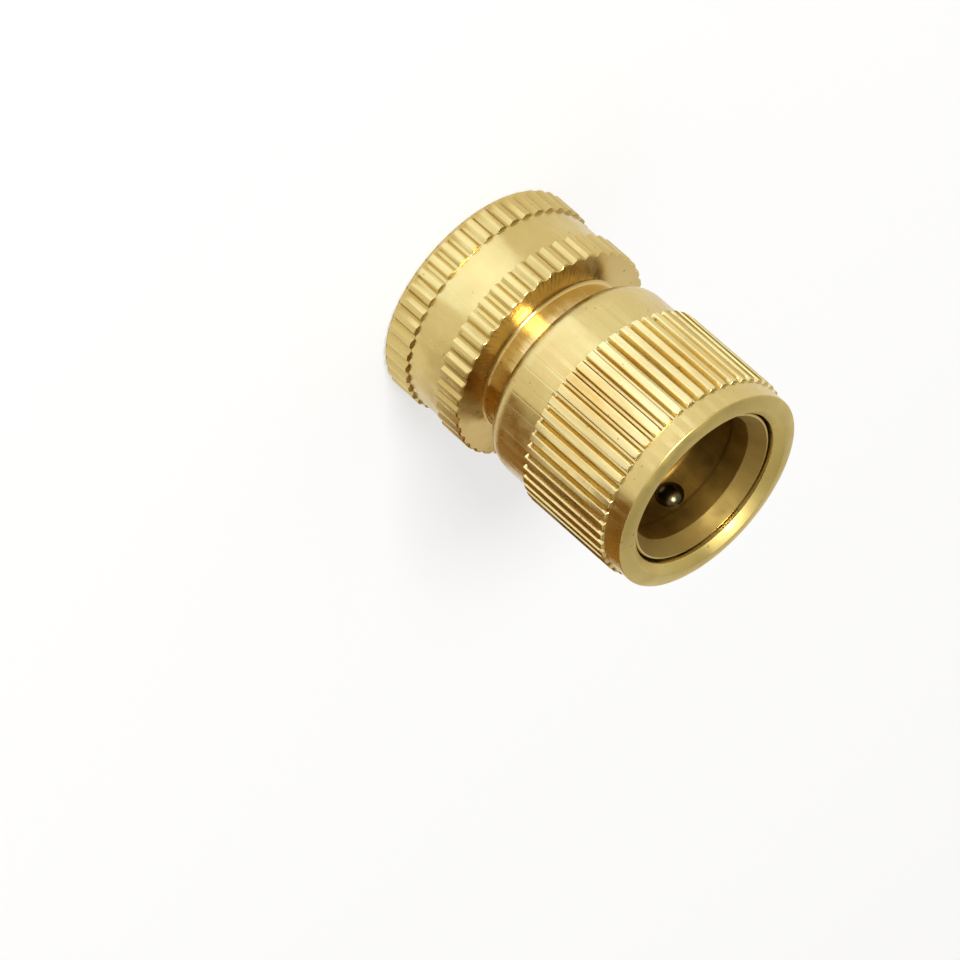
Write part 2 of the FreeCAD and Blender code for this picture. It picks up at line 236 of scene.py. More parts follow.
def thread_wall(height, angle):
    """Radius of the thread's helix: a rounded V whose depth follows height / pitch - angle / turn."""
    turns = height / THREAD_PITCH - angle / (2 * math.pi)
    wave = 0.5 - 0.5 * np.cos(2 * math.pi * turns)
    flank = np.clip(THREAD_STEEPNESS * wave - THREAD_FLAT, 0, 1)
    return THREAD_MINOR_RADIUS + (THREAD_MAJOR_RADIUS - THREAD_MINOR_RADIUS) * flank


def turned_body():
    """The body's skin: its section carried round the axis.

    The rows of the two bands are notched to the knurl's radius, and the rows inside the
    threaded end follow the helix, or the flare at its mouth where that is wider.
    """
    rng = np.random.default_rng(7)
    tilt = rng.uniform(-END_TILT, END_TILT, END_TEETH)
    share, angle = knurl_columns(END_TEETH, END_PHASE, END_TOOTH_COLUMNS)
    rows, knurled = body_outline()
    keep = len(rows) - 2 * EDGE_STEPS
    thread_height = np.linspace(THREAD_TOP - 2 * BREAK, 2 * BREAK, THREAD_ROWS)
    thread = np.stack([np.full(THREAD_ROWS, THREAD_MINOR_RADIUS), thread_height], axis=1)
    profile = np.concatenate([rows[:keep], thread, rows[-EDGE_STEPS:]])
    notched = np.concatenate([knurled[:keep], np.zeros(THREAD_ROWS + EDGE_STEPS, bool)])
    wound = np.zeros(len(profile), bool)
    wound[keep:keep + THREAD_ROWS] = True
    radius = np.repeat(profile[:, :1], len(angle), axis=1)
    height = np.repeat(profile[:, 1:], len(angle), axis=1)
    tooth = tooth_radius(share, END_TOOTH_SHARES, END_ROOT_RADIUS, END_RADIUS, END_SHOULDER, tilt)
    radius = np.where(notched[:, None], np.minimum(radius, tooth), radius)
    flare = np.where(height < THREAD_MAJOR_RADIUS - THREAD_MINOR_RADIUS, THREAD_MAJOR_RADIUS - height, 0)
    radius = np.where(wound[:, None], np.maximum(thread_wall(height, angle), flare), radius)
    piece = closed_grid("turned_body", radius * np.cos(angle), radius * np.sin(angle), height)
    on_lower_band = (height > RIM_BEVEL) & (height <= LOWER_BAND_TOP)
    on_upper_band = (height >= UPPER_BAND_FOOT) & (height < END_LENGTH - FACE_BEVEL)
    mark_grooves(piece, radius, on_lower_band | on_upper_band, END_ROOT_RADIUS, END_RADIUS, END_DIRT_AND_SHADE)
    return piece


def ball_drill(number):
    """The stepped tool that cuts one ball's hole: a clear bore outside, a narrower lip inside."""
    step = BALL_ORBIT - BALL_STEP
    along = np.array([DRILL_OUTER, DRILL_OUTER, step, BALL_LIP_REACH, DRILL_INNER, DRILL_INNER])
    reach = np.array([0, BALL_HOLE_RADIUS, BALL_HOLE_RADIUS, BALL_LIP_RADIUS, BALL_LIP_RADIUS, 0])
    turn = np.linspace(0, 2 * math.pi, DRILL_SIDES, endpoint=False)
    x = np.repeat(along[:, None], len(turn), axis=1)
    y = reach[:, None] * np.cos(turn)
    z = BALL_HEIGHT + reach[:, None] * np.sin(turn)
    heading = number * math.pi / 2
    tool = closed_grid(
        f"drill_{number}",
        x * math.cos(heading) - y * math.sin(heading),
        x * math.sin(heading) + y * math.cos(heading),
        z,
        close_rows=False,
    )
    merge = tool.modifiers.new("merge", "WELD")
    merge.merge_threshold = SAME_POINT
    return apply_modifiers(tool)


body = turned_body()
drills = [ball_drill(number) for number in range(4)]
for tool in drills:
    cut = body.modifiers.new(tool.name, "BOOLEAN")
    cut.operation = "DIFFERENCE"
    cut.solver = "EXACT"
    cut.object = tool
face_weighted(body)
for tool in drills:
    bpy.data.objects.remove(tool)


# Tone multiplied into the knurl's grooves: partly tarnish, partly painted shade of the deep grooves.
GROOVE_TARNISH_AND_SHADE = (0.64, 0.55, 0.42)
PIT_TONE = (0.2, 0.12, 0.04)
PATCH_SCALE = 90.0
PATCH_DEEPEST = 0.3
PATCH_PALEST = 0.62
DRAWN_SCALE = 24.0
DRAWN_STRETCH = 6.0
DRAWN_DEEPEST = 0.35
DRAWN_PALEST = 0.65
PIT_SCALE = 1500.0
PIT_START = 0.73
PIT_FULL = 0.79
PIT_SHARE = 0.55
DENT_SCALE = 420.0
DENT_START = 0.35
DENT_FULL = 0.7
DENT_DEPTH = 0.04 * MM
SMOOTHER_SPOTS = 0.05
ROUGHER_SPOTS = 0.09
TOOL_MARK_DEPTH = 0.02 * MM
MARK_STRENGTH = 0.25
BORE_LIMIT = 10.25 * MM


def add_node(material, kind, *sources, **values):
    """A new node. Outputs or numbers go into its first inputs in order, and values into others by name.

    An underscore in such a name stands for a space.
    """
    node = material.node_tree.nodes.new(kind)
    for source, target in zip(sources, node.inputs):
        if isinstance(source, float):
            target.default_value = source
        elif source is not None:
            material.node_tree.links.new(source, target)
    for name, value in values.items():
        node.inputs[name.replace("_", " ")].default_value = value
    return node


def plain_finish(name, metallic):
    """A new material, its shader, and the places on the object that its patterns read."""
    material = bpy.data.materials.new(name)
    material.use_nodes = True
    shader = material.node_tree.nodes["Principled BSDF"]
    shader.inputs["Metallic"].default_value = metallic
    return material, shader, add_node(material, "ShaderNodeTexCoord").outputs["Object"]


def clouds(material, place, scale, detail):
    """Cloudy values at the given places."""
    return add_node(material, "ShaderNodeTexNoise", place, Scale=scale, Detail=detail).outputs["Fac"]


def point(material, x, y, z):
    """A place put together from its three parts; a part that is None stays 0."""
    return add_node(material, "ShaderNodeCombineXYZ", x, y, z).outputs["Vector"]


def mapped(material, value, **ends):
    """The value's stretch between two ends, mapped along a straight line onto two others."""
    return add_node(material, "ShaderNodeMapRange", value, **ends).outputs["Result"]


def two_tones(material, value, low, low_tone, high, high_tone):
    """A colour that goes from one tone to another while the value goes from low to high."""
    ramp = add_node(material, "ShaderNodeValToRGB", value)
    stops = ramp.color_ramp.elements
    stops[0].position = low
    stops[0].color = (*low_tone, 1)
    stops[1].position = high
    stops[1].color = (*high_tone, 1)
    return ramp.outputs["Color"]


def calculated(material, operation, *sources):
    """The result of one step of arithmetic on two values."""
    node = add_node(material, "ShaderNodeMath", *sources)
    node.operation = operation
    return node.outputs["Value"]


def toned(material, blend, share, colour, tone):
    """A colour blended with a plain tone by the given share."""
    node = add_node(material, "ShaderNodeMix")
    node.data_type = "RGBA"
    node.blend_type = blend
    node.inputs["B"].default_value = (*tone, 1)
    material.node_tree.links.new(share, node.inputs["Factor"])
    material.node_tree.links.new(colour, node.inputs["A"])
    return node.outputs["Result"]


def relief(material, height, strength, depth, under=None):
    """Relief of the given depth, which lies on top of the relief under it."""
    node = add_node(material, "ShaderNodeBump", Strength=strength, Distance=depth)
    material.node_tree.links.new(height, node.inputs["Height"])
    if under is not None:
        material.node_tree.links.new(under, node.inputs["Normal"])
    return node.outputs["Normal"]


def finished(material, shader, colour, roughness, normal):
    """Links what the patterns give to the shader, and returns the material."""
    material.node_tree.links.new(colour, shader.inputs["Base Color"])
    material.node_tree.links.new(roughness, shader.inputs["Roughness"])
    material.node_tree.links.new(normal, shader.inputs["Normal"])
    return material


def brass(name, tone, deep_tone, roughness, marks, streaks=0.03, along=0.55, turn=0.25, edge=(1, 1, 1)):
    """Turned yellow brass.

    Clouds of a deeper tone, streaks drawn along the bar, tarnish and painted shade in the grooves
    and dark pits make its colour. Tool marks round the axis and small dents make its relief.
    """
    material, shader, place = plain_finish(name, metallic=1.0)
    shader.inputs["Anisotropic"].default_value = along
    shader.inputs["Anisotropic Rotation"].default_value = turn
    shader.inputs["Specular Tint"].default_value = (*edge, 1)
    patches = clouds(material, place, PATCH_SCALE, detail=4.0)
    colour = two_tones(material, patches, PATCH_DEEPEST, deep_tone, PATCH_PALEST, tone)

    part = add_node(material, "ShaderNodeSeparateXYZ", place).outputs
    from_axis = add_node(material, "ShaderNodeVectorMath", point(material, part["X"], part["Y"], None))
    from_axis.operation = "LENGTH"
    lathe_place = point(material, from_axis.outputs["Value"], None, part["Z"])
    lathe = clouds(material, lathe_place, marks, detail=3.0)

    heading = calculated(material, "ARCTAN2", part["Y"], part["X"])
    long_height = calculated(material, "MULTIPLY", part["Z"], DRAWN_STRETCH)
    drawn_place = point(material, heading, None, long_height)
    drawn = clouds(material, drawn_place, DRAWN_SCALE, detail=5.0)
    shade = mapped(material, drawn, From_Min=DRAWN_DEEPEST, From_Max=DRAWN_PALEST, To_Min=1 - streaks)
    streaked = add_node(material, "ShaderNodeVectorMath", colour)
    streaked.operation = "SCALE"
    material.node_tree.links.new(shade, streaked.inputs["Scale"])

    groove = add_node(material, "ShaderNodeAttribute")
    groove.attribute_name = "groove"
    # The grooves are darkened here by tarnish and painted shade.
    tarnished_and_shaded = toned(material, "MULTIPLY", groove.outputs["Fac"], streaked.outputs["Vector"], GROOVE_TARNISH_AND_SHADE)
    pits = clouds(material, place, PIT_SCALE, detail=1.0)
    pitted = mapped(material, pits, From_Min=PIT_START, From_Max=PIT_FULL, To_Max=PIT_SHARE)
    colour = toned(material, "MIX", pitted, tarnished_and_shaded, PIT_TONE)

    dents = clouds(material, place, DENT_SCALE, detail=2.0)
    rough = mapped(material, dents, From_Min=DENT_START, From_Max=DENT_FULL,
                   To_Min=roughness - SMOOTHER_SPOTS, To_Max=roughness + ROUGHER_SPOTS)
    turned = relief(material, lathe, MARK_STRENGTH, TOOL_MARK_DEPTH)
    dented = relief(material, dents, MARK_STRENGTH, DENT_DEPTH, under=turned)
    return finished(material, shader, colour, rough, dented)


def face_places(piece):
    """The distance from the axis and the height of each face's middle."""
    centres = np.empty(len(piece.data.polygons) * 3, np.float32)
    piece.data.polygons.foreach_get("center", centres)
    centres = centres.reshape(-1, 3)
    return np.hypot(centres[:, 0], centres[:, 1]), centres[:, 2]


body.data.materials.append(brass(
    "body_turned_brass", tone=(0.68, 0.53, 0.2), deep_tone=(0.6, 0.44, 0.15),
    roughness=0.28, marks=5200.0))
# The bore and thread get a far darker copy of the brass: painted shade inside the part.
body.data.materials.append(brass(
    "body_bore_shaded_brass", tone=(0.32, 0.185, 0.035), deep_tone=(0.23, 0.12, 0.018),
    roughness=0.5, marks=3800.0, along=0.6))
# The end face, neck and flange are smoother than the turned brass and paler: the smoothness is real, the
# paler tone is a painted highlight.
body.data.materials.append(brass(
    "body_polished_highlit_brass", tone=(0.8, 0.6, 0.235), deep_tone=(0.72, 0.51, 0.18),
    roughness=0.2, marks=5200.0, streaks=0.0, along=0.8))
# The mouth's lead-in cone gets a darker, rougher copy of the brass: painted shade that also dims its
# highlight.
body.data.materials.append(brass(
    "body_lead_in_shaded_brass", tone=(0.38, 0.27, 0.08), deep_tone=(0.27, 0.155, 0.035),
    roughness=0.66, marks=3800.0, along=0.2))
radius, height = face_places(body)
bored = (radius < BORE_LIMIT) | ((height < THREAD_TOP) & (radius < THREAD_MAJOR_RADIUS))
polished = ~bored & (height > END_LENGTH - BREAK) & (height < FLANGE_TOP)
led_in = bored & (height > LEAD_IN_FOOT - BREAK)
body.data.polygons.foreach_set("material_index", (bored + 2 * polished + 2 * led_in).astype(np.int32))
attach(body, "body")
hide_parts("connector_body")


# Release collar
# A second brass turning that slides on the body. Its middle is straight-knurled for the
# fingers; the plain band behind keeps fine lines where the knurling tool ran off.
COLLAR_FOOT = 17.2 * MM
NOSE_RADIUS = 12.65 * MM
NOSE_MIDDLE_RADIUS = 13.25 * MM
NOSE_MIDDLE = 18.1 * MM
NOSE_TOP = 19.0 * MM
REAR_BAND_RADIUS = 13.45 * MM
COLLAR_ROOT_RADIUS = 13.48 * MM
COLLAR_RADIUS = 14.2 * MM
KNURL_FOOT = 24.1 * MM
KNURL_START = 24.3 * MM
KNURL_END = 37.9 * MM
KNURL_END_BEVEL = 0.12 * MM
FRONT_BAND_RADIUS = 13.75 * MM
FRONT_EDGE_FOOT = 40.6 * MM
FRONT_EDGE_RADIUS = 12.85 * MM
FACE_FALL = 0.15 * MM
COLLAR_TOP = 41.1 * MM
MOUTH_RADIUS = 11.8 * MM
LIP_RADIUS = 10.8 * MM
LIP_EDGE = 40.1 * MM
LIP_FOOT = 38.75 * MM
BALL_GROOVE_RADIUS = 12.98 * MM
RAMP_TOP = 36.6 * MM
LAND_RADIUS = 12.0845 * MM
WEB_TOP = 30.3 * MM
WEB_FOOT = 28.2 * MM
WEB_BORE = 10.56 * MM
SKIRT_BORE = 12.26 * MM
RING_GROOVE_TOP = 18.95 * MM
RING_GROOVE_FOOT = 18.0 * MM
RING_GROOVE_RADIUS = 12.73 * MM
COLLAR_TEETH = 50
COLLAR_PHASE = math.radians(1.1)
COLLAR_TOOTH_COLUMNS = np.array([
    0.0, 0.03, 0.085, 0.12, 0.2, 0.25, 0.34, 0.5, 0.66, 0.75, 0.8, 0.88, 0.915, 0.97])
COLLAR_TOOTH_SHARES = [0.0, 0.1, 0.2, 0.25, 0.5]
COLLAR_SHOULDER = 0.1
COLLAR_TILT = 0.13 * MM
# Share of tarnish and painted shade at the root of the collar's knurl grooves.
COLLAR_DIRT_AND_SHADE = 0.32
NOSE_BREAK = 0.12 * MM
NOSE_ROUND = 0.4 * MM
KNURL_END_BREAK = 0.02 * MM
BAND_BREAK = 0.15 * MM
FRONT_BREAK = 0.3 * MM
SCORE_DEPTH = 0.03 * MM
SCORE_SHARE = 0.03
FAINTEST_SCORE = 0.2
CORNERS_BEFORE_TONGUE = 5
TONGUE_LENGTH = 0.7 * MM
TONGUE_ROWS = 5
TONGUE_NARROWING = 0.45
TONGUE_ROUNDNESS = 0.98


def collar_outline():
    """Rows of the collar's closed section, which rows the knurl cuts and which the tool only scored."""
    corners = np.array([
        (NOSE_RADIUS, COLLAR_FOOT, NOSE_BREAK),
        (NOSE_MIDDLE_RADIUS, NOSE_MIDDLE, NOSE_ROUND),
        (REAR_BAND_RADIUS, NOSE_TOP, NOSE_ROUND),
        (REAR_BAND_RADIUS, KNURL_FOOT, BREAK),
        (COLLAR_RADIUS, KNURL_START, BREAK),
        (COLLAR_RADIUS, KNURL_END - KNURL_END_BEVEL, BREAK),
        (COLLAR_RADIUS - KNURL_END_BEVEL, KNURL_END, BREAK),
        (FRONT_BAND_RADIUS + 2 * BREAK, KNURL_END, KNURL_END_BREAK),
        (FRONT_BAND_RADIUS, KNURL_END + BREAK, KNURL_END_BREAK),
        (FRONT_BAND_RADIUS, FRONT_EDGE_FOOT, BAND_BREAK),
        (FRONT_EDGE_RADIUS, COLLAR_TOP - FACE_FALL, FRONT_BREAK),
        (MOUTH_RADIUS, COLLAR_TOP, BREAK),
        (LIP_RADIUS, LIP_EDGE, BREAK),
        (LIP_RADIUS, LIP_FOOT, BREAK),
        (BALL_GROOVE_RADIUS, LIP_FOOT, BREAK),
        (BALL_GROOVE_RADIUS, RAMP_TOP, BREAK),
        (LAND_RADIUS, BALL_HEIGHT, BREAK),
        (LAND_RADIUS, WEB_TOP, BREAK),
        (WEB_BORE, WEB_TOP, BREAK),
        (WEB_BORE, WEB_FOOT, BREAK),
        (SKIRT_BORE, WEB_FOOT, BREAK),
        (SKIRT_BORE, RING_GROOVE_TOP, BREAK),
        (RING_GROOVE_RADIUS, RING_GROOVE_TOP, BREAK),
        (RING_GROOVE_RADIUS, RING_GROOVE_FOOT, BREAK),
        (SKIRT_BORE, RING_GROOVE_FOOT, BREAK),
        (SKIRT_BORE, COLLAR_FOOT, BREAK),
    ])
    number = np.repeat(np.arange(len(corners)), EDGE_STEPS)
    knurl_corners, rear_band_corners = [4, 5, 6, 7], [2, 3]
    rows = rounded_outline(corners, EDGE_STEPS)
    return rows, np.isin(number, knurl_corners), np.isin(number, rear_band_corners)


def knurled_collar():
    """The collar's skin: its section carried round the axis, with the knurl's grooves cut in.

    A tooth narrows towards its front end as 1 - sqrt(1 - x^2), where x goes from 0 to nearly
    1 along the tongue, and fine scores cross the band behind the knurl.
    """
    rng = np.random.default_rng(11)
    tilt = rng.uniform(-COLLAR_TILT, COLLAR_TILT, COLLAR_TEETH)
    share, angle = knurl_columns(COLLAR_TEETH, COLLAR_PHASE, COLLAR_TOOTH_COLUMNS)
    rows, knurled, scored = collar_outline()
    tooth_end = KNURL_END - KNURL_END_BEVEL
    tongue_start = tooth_end - TONGUE_LENGTH
    tongue_height = np.linspace(tongue_start, tooth_end - 2 * BREAK, TONGUE_ROWS)
    tongue = np.stack([np.full(TONGUE_ROWS, COLLAR_RADIUS), tongue_height], axis=1)
    at = CORNERS_BEFORE_TONGUE * EDGE_STEPS
    profile = np.concatenate([rows[:at], tongue, rows[at:]])
    knurled = np.concatenate([knurled[:at], np.ones(TONGUE_ROWS, bool), knurled[at:]])[:, None]
    scored = np.concatenate([scored[:at], np.zeros(TONGUE_ROWS, bool), scored[at:]])[:, None]
    radius = np.repeat(profile[:, :1], len(angle), axis=1)
    height = np.repeat(profile[:, 1:], len(angle), axis=1)

    tooth = tooth_radius(
        share, COLLAR_TOOTH_SHARES, COLLAR_ROOT_RADIUS, COLLAR_RADIUS, COLLAR_SHOULDER, tilt)
    radius = np.where(knurled, np.minimum(radius, tooth), radius)
    place = share - np.floor(share)
    off_groove = np.minimum(place, 1 - place)
    score = np.clip(1 - off_groove / SCORE_SHARE, 0, 1)
    fade = rng.uniform(FAINTEST_SCORE, 1.0, COLLAR_TEETH)[np.round(share).astype(int) % COLLAR_TEETH]
    radius = radius - np.where(scored, SCORE_DEPTH * score * fade, 0)

    near_end = np.clip((height - tongue_start) / (KNURL_END - tongue_start), 0, 1)
    narrow = TONGUE_NARROWING * (1 - np.sqrt(1 - TONGUE_ROUNDNESS * near_end**2))
    on_tooth = np.interp(off_groove, COLLAR_TOOTH_SHARES[1:3], [0, 1]) * (0.5 - off_groove)
    inwards = np.where(place < 0.5, 1, -1) * on_tooth * np.where(knurled, narrow, 0)
    turn = angle + inwards * 2 * math.pi / COLLAR_TEETH
    piece = closed_grid("knurled_collar", radius * np.cos(turn), radius * np.sin(turn), height)
    on_knurl = (height > KNURL_START) & (height < KNURL_END)
    mark_grooves(piece, radius, on_knurl, COLLAR_ROOT_RADIUS, COLLAR_RADIUS, COLLAR_DIRT_AND_SHADE)
    return piece


collar = face_weighted(knurled_collar())
collar.data.materials.append(brass(
    "collar_turned_brass", tone=(0.69, 0.54, 0.21), deep_tone=(0.61, 0.45, 0.16),
    roughness=0.27, marks=4600.0))
# The knurl gets a paler copy of the collar's brass, a painted highlight on its lands, and a dark edge
# tint that darkens it at grazing angles, painted shade on its flanks.
collar.data.materials.append(brass(
    "collar_knurled_highlit_brass", tone=(0.94, 0.79, 0.38), deep_tone=(0.85, 0.65, 0.26),
    roughness=0.24, marks=4600.0, streaks=0.16, along=0.25, turn=0.0, edge=(0.2, 0.13, 0.05)))
collar.data.materials.append(brass(
    "collar_faced_brass", tone=(0.72, 0.57, 0.2), deep_tone=(0.6, 0.45, 0.14),
    roughness=0.46, marks=4600.0, along=0.3))
radius, height = face_places(collar)
on_knurl = (height > KNURL_FOOT) & (height < KNURL_END) & (radius > COLLAR_ROOT_RADIUS - BREAK)
faced = (height > LIP_EDGE) & (radius < FRONT_BAND_RADIUS - BREAK)
collar.data.polygons.foreach_set("material_index", (on_knurl + 2 * faced).astype(np.int32))
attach(collar, "collar")
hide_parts("release_collar")


# Return spring
# Hard-drawn stainless wire, wound with three and a half turns and ground flat on both
# ends. It sits round the sleeve between the guide flange and the collar's web.
WIRE_RADIUS = 0.55 * MM
SPRING_RADIUS = 11.4 * MM
SPRING_TURNS = 3.5
SPRING_STEPS = 240
WIRE_SIDES = 20
END_TURN_LAY = 0.55
DEEP_STEEL = 0.86
STEEL_SPREAD = 0.3
SCRATCH_DEPTH = 0.01 * MM
SCRATCH_STRENGTH = 0.2


def wound_spring():
    """The wire: a circle carried along a helix, ground to its seats.

    The height goes as t - k sin(2 pi t) / (2 pi), so the end turns lie flatter than the rest.
    """
    along = np.linspace(0, 1, SPRING_STEPS)
    turn = 2 * math.pi * SPRING_TURNS * along
    lay = along - END_TURN_LAY * np.sin(2 * math.pi * along) / (2 * math.pi)
    middle = FLANGE_TOP + (WEB_FOOT - FLANGE_TOP) * lay
    round_wire = np.linspace(0, 2 * math.pi, WIRE_SIDES, endpoint=False)
    reach = WIRE_RADIUS * np.concatenate([[0], np.ones(len(along)), [0]])
    turn = np.concatenate([turn[:1], turn, turn[-1:]])[None, :]
    middle = np.concatenate([middle[:1], middle, middle[-1:]])[None, :]
    radius = SPRING_RADIUS + np.cos(round_wire)[:, None] * reach[None, :]
    height = middle + np.sin(round_wire)[:, None] * reach[None, :]
    height = np.clip(height, FLANGE_TOP, WEB_FOOT)
    across = radius * np.cos(turn)
    deep = radius * np.sin(turn)
    return closed_grid("wound_spring", across.T, deep.T, height.T, close_rows=False)


def steel(name, tone, roughness, scale, stretch):
    """Stainless steel: drawn or rolled marks that run one way, over a faint cloudy tone."""
    material, shader, place = plain_finish(name, metallic=1.0)
    drawn_place = add_node(material, "ShaderNodeMapping", place, Scale=stretch).outputs["Vector"]
    marks = clouds(material, drawn_place, scale, detail=5.0)
    deep_tone = [DEEP_STEEL * shade for shade in tone]
    colour = two_tones(material, marks, DRAWN_DEEPEST, deep_tone, DRAWN_PALEST, tone)
    smoothest, roughest = roughness * (1 - STEEL_SPREAD), roughness * (1 + STEEL_SPREAD)
    rough = mapped(material, marks, To_Min=smoothest, To_Max=roughest)
    scratched = relief(material, marks, SCRATCH_STRENGTH, SCRATCH_DEPTH)
    return finished(material, shader, colour, rough, scratched)


spring = wound_spring()
spring.data.materials.append(steel(
    "drawn_spring_wire", tone=(0.62, 0.62, 0.61), roughness=0.3, scale=3000.0, stretch=(1, 1, 4)))
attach(spring, "body")
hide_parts("return_spring")
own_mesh(spring)


# Retaining ring
# A split ring of spring steel strip with tumbled edges. It snaps into the groove in the
# collar's skirt and stops against the body's guide flange.
RING_INNER_RADIUS = 11.1 * MM
RING_OUTER_RADIUS = 12.68 * MM
RING_FOOT = 18.05 * MM
RING_TOP = 18.9 * MM
RING_GAP = 1.4 * MM
RING_EDGE = 0.12 * MM
RING_EDGE_STEPS = 4
RING_STEPS = 180


def split_ring():
    """A rounded rectangle carried round the axis, from one side of the gap to the other."""
    corners = np.array([
        (RING_INNER_RADIUS, RING_FOOT, RING_EDGE),
        (RING_OUTER_RADIUS, RING_FOOT, RING_EDGE),
        (RING_OUTER_RADIUS, RING_TOP, RING_EDGE),
        (RING_INNER_RADIUS, RING_TOP, RING_EDGE),
    ])
    section = rounded_outline(corners, RING_EDGE_STEPS)
    half_gap = RING_GAP / 2 / RING_INNER_RADIUS
    turn = np.linspace(-math.pi + half_gap, math.pi - half_gap, RING_STEPS)
    middle = section.mean(axis=0)
    radius = np.repeat(section[None, :, 0], len(turn), axis=0)
    height = np.repeat(section[None, :, 1], len(turn), axis=0)
    cap = np.ones((1, len(section)))
    radius = np.concatenate([cap * middle[0], radius, cap * middle[0]])
    height = np.concatenate([cap * middle[1], height, cap * middle[1]])
    turn = np.concatenate([turn[:1], turn, turn[-1:]])[:, None]
    across = radius * np.cos(turn)
    deep = radius * np.sin(turn)
    return closed_grid("split_ring", across, deep, height, close_rows=False)


ring = split_ring()
ring.data.materials.append(steel(
    "rolled_ring_strip", tone=(0.58, 0.58, 0.57), roughness=0.34, scale=900.0, stretch=(1, 1, 6)))
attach(ring, "carrier")
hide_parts("retaining_ring")


# Locking balls
# Four stainless bearing balls, ground and polished, loose in the sleeve's drilled holes.
# The collar holds them inwards, into the groove of a plug.
BALL_SIDES = 56
BALL_ROWS = 29


def locking_ball(number):
    """A sphere from two angles: round the flow axis and from pole to pole."""
    heading = (number - 1) * math.pi / 2
    turn = np.linspace(0, 2 * math.pi, BALL_SIDES, endpoint=False)[None, :]
    tip = np.linspace(0, math.pi, BALL_ROWS)[:, None]
    x = BALL_ORBIT * math.cos(heading) + BALL_RADIUS * np.sin(tip) * np.cos(turn)
    y = BALL_ORBIT * math.sin(heading) + BALL_RADIUS * np.sin(tip) * np.sin(turn)
    z = BALL_HEIGHT - BALL_RADIUS * np.cos(tip) + 0 * turn
    return closed_grid(f"polished_ball_{number}", x, y, z, close_rows=False)


# The balls' steel gets a dark yellowish tone: painted shade from their holes and a painted reflection of
# the brass round them.
shaded_ball_steel = steel(
    "polished_ball_shaded_steel", tone=(0.13, 0.11, 0.055), roughness=0.24, scale=600.0, stretch=(1, 1, 1))
for number in range(1, 5):
    ball = locking_ball(number)
    ball.data.materials.append(shaded_ball_steel)
    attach(ball, f"ball_{number}")
    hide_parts(f"locking_ball_{number}")


# Plug seal
# A moulded nitrile ring, pressed into the groove of the water way. The two halves of its
# mould leave a fine flash line inside and outside.
SEAL_CORD_RADIUS = 1.0 * MM
SEAL_MEAN_RADIUS = SEAL_GROOVE_RADIUS - SEAL_CORD_RADIUS
SEAL_STEPS = 120
SEAL_SIDES = 36
FLASH_HEIGHT = 0.02 * MM
FLASH_WIDTH = 0.12
GRAIN_SCALE = 4000.0
GRAIN_DEPTH = 0.02 * MM
GRAIN_STRENGTH = 0.3
BLOOM_SCALE = 260.0
BLOOM_START = 0.4
BLOOM_FULL = 0.8
BLOOM_SHARE = 2.2
SHINIER_SKIN = 0.1
DULLER_SKIN = 0.15


def seal_ring():
    """A circle carried round the axis, with a small bell-shaped ridge where the mould parts."""
    turn = np.linspace(0, 2 * math.pi, SEAL_STEPS, endpoint=False)[None, :]
    across = np.linspace(0, 2 * math.pi, SEAL_SIDES, endpoint=False)[:, None]
    flash = FLASH_HEIGHT * np.exp(-(np.sin(across) / FLASH_WIDTH) ** 2)
    cord = SEAL_CORD_RADIUS - FLASH_HEIGHT + flash
    radius = SEAL_MEAN_RADIUS + cord * np.cos(across)
    height = SEAL_HEIGHT + cord * np.sin(across) + 0 * turn
    return closed_grid("seal_ring", radius * np.cos(turn), radius * np.sin(turn), height)


def rubber(name, tone, roughness):
    """Moulded black rubber: a dull skin with fine grain and a little pale bloom."""
    material, shader, place = plain_finish(name, metallic=0.0)
    bloom = clouds(material, place, BLOOM_SCALE, detail=6.0)
    bloomed = [BLOOM_SHARE * shade for shade in tone]
    colour = two_tones(material, bloom, BLOOM_START, tone, BLOOM_FULL, bloomed)
    rough = mapped(material, bloom, To_Min=roughness - SHINIER_SKIN, To_Max=roughness + DULLER_SKIN)
    grain = clouds(material, place, GRAIN_SCALE, detail=2.0)
    grained = relief(material, grain, GRAIN_STRENGTH, GRAIN_DEPTH)
    return finished(material, shader, colour, rough, grained)


seal = seal_ring()
seal.data.materials.append(rubber("nitrile_seal", tone=(0.018, 0.018, 0.018), roughness=0.45))
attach(seal, "body")
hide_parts("plug_seal")


# Hose washer
# A flat washer cut from moulded rubber, dropped in behind the thread. Each face has two
# raised rings that bite on the hose's end.
WASHER_FOOT = 8.7 * MM
WASHER_RADIUS = 13.02 * MM
WASHER_HOLE = 7.0 * MM
WASHER_EDGE = 0.2 * MM
WASHER_EDGE_STEPS = 4
WASHER_STEPS = 160
FACE_ROWS = 40
RIDGE_HEIGHT = 0.06 * MM
RIDGE_PITCH = 2.0 * MM


